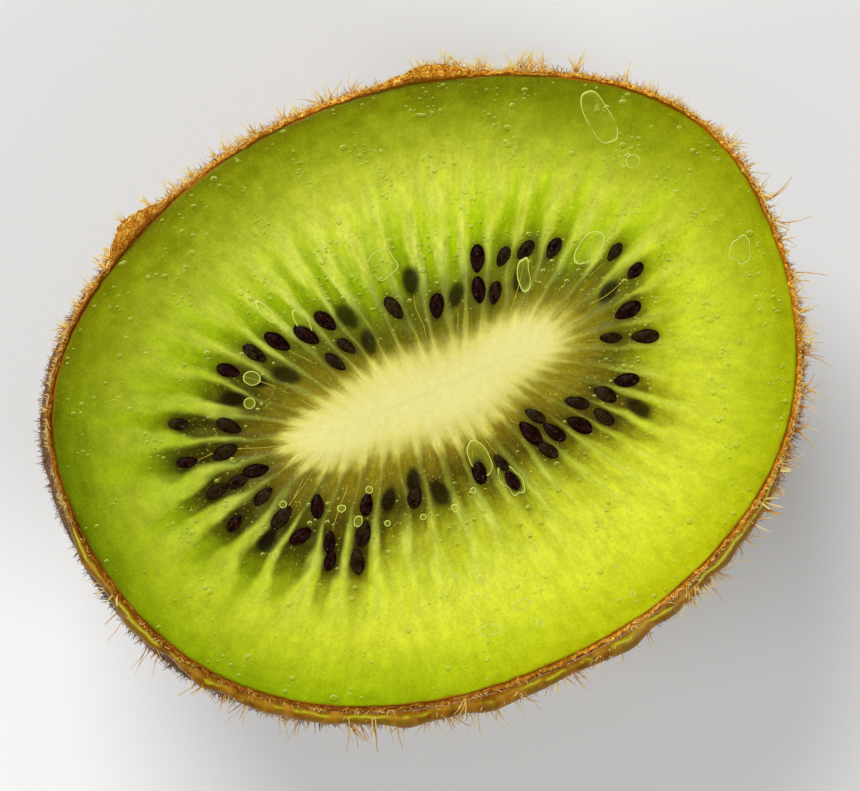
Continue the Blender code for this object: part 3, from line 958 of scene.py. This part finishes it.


# Small bubbles, and clear films of juice with a bright edge, their rims with a painted highlight on one side
# and painted shade on the other
# painted light on the juice's rims: the way of the painted highlight, its colour and the painted shade's
# colour
juiceSettings = {"highlightSide": math.radians(77), "bright": (240, 250, 124), "dark": (112, 136, 10)}
bubbleSettings = {
    "count": 2100,
    "radius": (0.10, 0.38),
    "height": 0.24,  # share of the radius
    "sunk": 0.03,
    "thickest": np.array([0.38, 0.92]),  # the way to the side with most of them
    "seed": 41,
}
filmSettings = {
    "height": 0.05,
    "edge": 0.16,  # width of the bright edge, with its painted highlight on one side and painted shade on the other
    "films": (  # x and y on the face, length, width, heading in degrees and crookedness
        (20.1, 14.4, 4.6, 2.0, 95, 0.10), (15.6, 5.5, 3.2, 1.6, 24, 0.12), (10.2, 5.5, 2.8, 1.0, 66, 0.15),
        (0.4, 10.4, 2.6, 2.2, 20, 0.24), (-9.1, 10.5, 2.3, 0.7, 109, 0.10), (-6.8, 8.7, 2.5, 1.0, 98, 0.16),
        (1.7, -6.1, 2.8, 1.7, 98, 0.12), (3.3, -8.6, 2.6, 1.5, 100, 0.18), (-12.0, 6.2, 1.4, 1.1, 140, 0.03),
        (-12.9, 4.5, 0.9, 0.9, 0, 0.02), (21.2, 10.3, 1.1, 1.1, 0, 0.03), (26.2, 0.9, 2.2, 1.6, 60, 0.2),
        (-3.4, -13.8, 0.5, 0.5, 20, 0.08), (-1.8, -14.7, 0.7, 0.5, 70, 0.08),
        (-2.3, -15.9, 1.0, 0.6, -20, 0.16), (-2.6, -18.5, 1.6, 1.0, -22, 0.16),
        (0.3, -8.2, 0.5, 0.5, 0, 0.03), (-1.5, -8.9, 0.7, 0.5, 80, 0.08), (-8.9, -14.4, 0.6, 0.5, 30, 0.08),
        (-7.0, -5.1, 0.6, 0.6, 0, 0.03), (-9.5, -5.6, 0.7, 0.6, -20, 0.08),
        (-8.7, -7.0, 0.9, 0.7, 60, 0.08), (-13.5, -3.6, 0.6, 0.6, 0, 0.03),
        (-15.5, -6.9, 0.6, 0.5, 40, 0.08), (0.4, -17.7, 1.3, 0.9, 10, 0.16),
        (1.1, -19.5, 0.7, 0.5, -60, 0.08), (-6.7, -8.0, 0.5, 0.5, 0, 0.03),
        (-4.0, -8.6, 0.5, 0.5, 50, 0.08), (8.5, -20.2, 0.5, 0.5, 0, 0.03),
    ),
}


def juiceMaterial():
    material, tree, shader = newMaterial("kiwiJuice", **{"Roughness": 0.12, "Specular IOR Level": 0.25})
    rim, side = attributeOf(tree, "rim"), attributeOf(tree, "side")
    # painted highlight on one side of each rim and painted shade on the other, both more opaque than between
    # them
    edge = mixOf(tree, level(tree, side, -0.25, 0.3, smooth=True), tint(*juiceSettings["dark"]),
                 tint(*juiceSettings["bright"]))
    colour = mixOf(tree, level(tree, rim, 0.5, 0.7), tint(214, 230, 60), edge)
    feed(tree, shader.inputs["Base Color"], colour)
    alpha = curveOf(tree, rim, (0.0, 0.10), (0.5, 0.16), (0.72, 0.7), (0.9, 0.75), (1.0, 0.3))
    strength = curveOf(tree, side, (-1.0, 0.8), (-0.3, 0.4), (0.0, 0.35), (0.45, 1.0))
    feed(tree, shader.inputs["Alpha"], product(tree, alpha, strength))
    return material


def sideOf(away, rim):  # 1 on the side of a rim with the painted highlight, -1 on the side with the painted shade
    turn = np.arctan2(away[..., 1], away[..., 0])
    return rim * np.cos(turn - juiceSettings["highlightSide"])


def makeBubbles(material):
    s = bubbleSettings
    rng = np.random.default_rng(s["seed"])
    turn = rng.uniform(0, fullTurn, s["count"] * 3)
    out = np.sqrt(rng.uniform(0.03, 0.93, s["count"] * 3))
    spots = facePoint(turn, out)
    clear = np.min([seedDistance(spots, seed) for seed in seeds], axis=0) > 1.0
    likely = 0.4 + 0.6 * smoothStep(spots @ s["thickest"], 0, 12)
    spots = spots[clear & (rng.uniform(0, 1, len(spots)) < likely)][: s["count"]]
    low, high = s["radius"]
    radius = low + (high - low) * rng.beta(0.9, 5.0, len(spots))
    template = bmesh.new()
    bmesh.ops.create_uvsphere(template, u_segments=10, v_segments=5, radius=1.0)
    points = templatePoints(template)
    place = inFrame(spots, fruit["height"] - s["sunk"])
    shape = points[None] * (radius[:, None, None] * np.array([1, 1, s["height"]]))
    mesh = repeated("juiceBubbles", template, place[:, None] + shape)
    rim = np.hypot(points[:, 0], points[:, 1])
    keepValue(mesh, "rim", np.tile(rim, len(spots)))
    keepValue(mesh, "side", np.tile(sideOf(points, rim), len(spots)))
    return showPiece("juiceBubbles", mesh, material)


def makeFilms(material):
    s = filmSettings
    template = bmesh.new()
    bmesh.ops.create_uvsphere(template, u_segments=48, v_segments=16, radius=1.0)
    points = templatePoints(template)
    fromMiddle = np.hypot(points[:, 0], points[:, 1])
    angle = np.arctan2(points[:, 1], points[:, 0])
    rng = np.random.default_rng(43)
    films, rims, sides = [], [], []
    for x, y, length, width, heading, crooked in s["films"]:
        waves = sum(rng.normal() / count * np.sin(count * angle + rng.uniform(0, fullTurn))
                    for count in range(2, 7))
        size = 0.5 * (1 + crooked * waves)
        shape = points * np.stack([length * size, width * size, np.full(len(points), s["height"])], axis=1)
        turned = Matrix.Rotation(math.radians(heading), 3, "Z")
        shape = shape @ np.array(turned).T
        films.append(shape + inFrame(np.array([x, y]), fruit["height"] + 0.01))
        rims.append(np.clip(1 - (1 - fromMiddle) * 0.5 * width / s["edge"], 0, 1))
        sides.append(0.6 + 0.4 * sideOf(shape, rims[-1]))
    mesh = repeated("juiceFilms", template, np.array(films))
    keepValue(mesh, "rim", np.concatenate(rims))
    keepValue(mesh, "side", np.concatenate(sides))
    return showPiece("juiceFilms", mesh, material)


# The bead of juice that clings round the low side, under the lip
beadSettings = {
    "from": math.radians(166),  # turns between which it runs
    "to": math.radians(322),
    "columns": 16,  # round its section
    "rows": 620,
    "width": (0.85, 1.35),  # at its narrowest and widest, before its scallops
    "widest": math.radians(262),
    "tall": 0.42,
    "under": 0.28,  # of its middle below the cut
    "scallop": 0.16,
}


def beadMaterial():
    material, tree, shader = newMaterial("juiceBead", **{"Specular IOR Level": 0.14})
    place = placeOf(tree)
    strands = noiseOf(tree, place, 900.0, detail=3, roughness=0.6)
    across = maths(tree, "MULTIPLY_ADD", uneven(tree, strands), 0.09, attributeOf(tree, "across"))
    across = maths(tree, "MULTIPLY_ADD", uneven(tree, noiseOf(tree, place, 260.0, detail=2)), 0.10, across)
    # painted reflection: the bright yellow-green line along the bead's middle; painted highlight: the paler
    # line along its outer edge; between them the browns of the crust and the juice
    colour = rampOf(tree, across, (0.0, (122, 72, 8)), (0.26, (146, 98, 12)), (0.38, (176, 162, 20)),
                    (0.46, (204, 204, 44)), (0.54, (164, 136, 22)), (0.68, (138, 104, 18)),
                    (0.88, (146, 108, 28)), (0.95, (164, 124, 42)), (1.0, (178, 142, 64)))
    patches = noiseOf(tree, place, 420.0, detail=3, roughness=0.6)
    patches = level(tree, patches, 0.44, 0.56, 0.0, 0.85, smooth=True)
    brown = mixOf(tree, level(tree, strands, 0.35, 0.65), tint(118, 64, 8), tint(188, 130, 30))
    feed(tree, shader.inputs["Base Color"], mixOf(tree, patches, colour, brown))
    feed(tree, shader.inputs["Roughness"], level(tree, strands, 0.3, 0.7, 0.08, 0.28))
    alpha = curveOf(tree, across, (0.0, 0.95), (0.5, 0.92), (0.9, 0.85), (1.0, 0.7))
    feed(tree, shader.inputs["Alpha"], alpha)
    feed(tree, shader.inputs["Normal"], bumpOf(tree, strands, 0.4, 0.0001))
    return material


def beadPlaces(column, row):
    s = beadSettings
    share = row / s["rows"]
    turn = s["from"] + (s["to"] - s["from"]) * share
    roundTurn = fullTurn * column / s["columns"]
    ends = smoothStep(share, 0.0, 0.16) * smoothStep(1 - share, 0.0, 0.10)
    ends = np.sqrt(np.clip(ends, 0.0015, 1))
    low, high = s["width"]
    width = low + (high - low) * smoothStep(1 - np.abs(turn - s["widest"]) / 1.2)
    width *= (1 + s["scallop"] * ragged(random.Random(51))(turn)
              + 0.5 * s["scallop"] * ragged(random.Random(52))(2 * turn))
    edge = domePoint(turn, np.full(len(turn), 0.3))
    reach = 0.5 * width * ends * (1 + np.cos(roundTurn)) - 0.1
    flat = edge + unit(edge) * (reach + flapAt(turn))[:, None]
    lift = s["tall"] * ends * (np.sin(roundTurn) - 0.45 * np.cos(roundTurn)) - s["under"]
    return inFrame(flat, fruit["height"] + lift), {"across": 0.5 + 0.5 * np.cos(roundTurn)}


def makeBead():
    mesh = wrappedSheet("juiceBead", beadSettings["columns"], beadSettings["rows"], beadPlaces)
    return showPiece("juiceBead", mesh, beadMaterial())


makeFlesh()
makeSkin()
makeSeeds()
makeThreads()
hair = hairMaterial()
for kind in hairSettings:
    makeHairs(kind, hair)
juice = juiceMaterial()
makeBubbles(juice)
makeFilms(juice)
makeBead()


# Floor, light and camera
stageSettings = {
    "floorSize": 3.0,
    "worldLight": 0.14,
    "lights": (("topSoft", 115, 50, 8.8), ("leftSoft", 205, 42, 4.4), ("rightSoft", -35, 46, 4.6)),
    "lightAway": 1.2,
    "lightSize": 0.65,
    "pixelWidth": 0.0763,  # millimetres across one pixel at the cut
    "picture": (860, 791),
    "fruitAt": (428.3, 392.8),  # pixel of the cut face's middle
    "roll": math.radians(22.6),  # the long way of the face, above the picture's level
    "away": 620.0,  # camera above the cut, in millimetres
}


def makeFloor():
    floor = bmesh.new()
    bmesh.ops.create_grid(floor, x_segments=1, y_segments=1, size=stageSettings["floorSize"] / 2)
    mesh = bpy.data.meshes.new("floor")
    floor.to_mesh(mesh)
    floor.free()
    material, _, shader = newMaterial("paleFloor", **{"Roughness": 0.7, "Specular IOR Level": 0.2})
    shader.inputs["Base Color"].default_value = tint(250, 250, 249)
    mesh.materials.append(material)
    piece = bpy.data.objects.new("floor", mesh)
    bpy.context.scene.collection.objects.link(piece)


def addLight(name, turn, lift, power):
    # turn is counted in the picture from its right-hand side, and lift is above the level
    s = stageSettings
    data = bpy.data.lights.new(name, "AREA")
    data.shape = "DISK"
    data.size = s["lightSize"]
    data.energy = power
    light = bpy.data.objects.new(name, data)
    turn = math.radians(turn) - s["roll"]
    lift = math.radians(lift)
    way = Vector((math.cos(turn) * math.cos(lift), math.sin(turn) * math.cos(lift), math.sin(lift)))
    light.location = way * s["lightAway"] + Vector((0, 0, 0.03))
    light.rotation_mode = "QUATERNION"
    light.rotation_quaternion = way.to_track_quat("Z", "Y")
    light.visible_camera = False
    bpy.context.scene.collection.objects.link(light)


def makeStage():
    s = stageSettings
    scene = bpy.context.scene
    scene.view_settings.view_transform = "Standard"
    world = bpy.data.worlds.new("studio")
    world.use_nodes = True
    world.node_tree.nodes["Background"].inputs["Color"].default_value = (1, 1, 1, 1)
    world.node_tree.nodes["Background"].inputs["Strength"].default_value = s["worldLight"]
    scene.world = world
    makeFloor()
    for name, turn, lift, power in s["lights"]:
        addLight(name, turn, lift, power)

    camera = bpy.data.cameras.new("camera")
    camera.sensor_width = 36
    camera.lens = camera.sensor_width * s["away"] / (s["picture"][0] * s["pixelWidth"])
    eye = bpy.data.objects.new("camera", camera)
    (across, down), (x, y) = s["picture"], s["fruitAt"]
    offset = Vector((across / 2 - x, y - down / 2)) * s["pixelWidth"]
    offset.rotate(Matrix.Rotation(-s["roll"], 2))
    eye.location = Vector((*(fruit["centre"] + np.array(offset)), fruit["height"] + s["away"])) * mm
    eye.rotation_euler = (0, 0, -s["roll"])
    camera.clip_start, camera.clip_end = 0.01, 10
    scene.collection.objects.link(eye)
    scene.camera = eye


makeStage()
print("kiwi half: stage set")
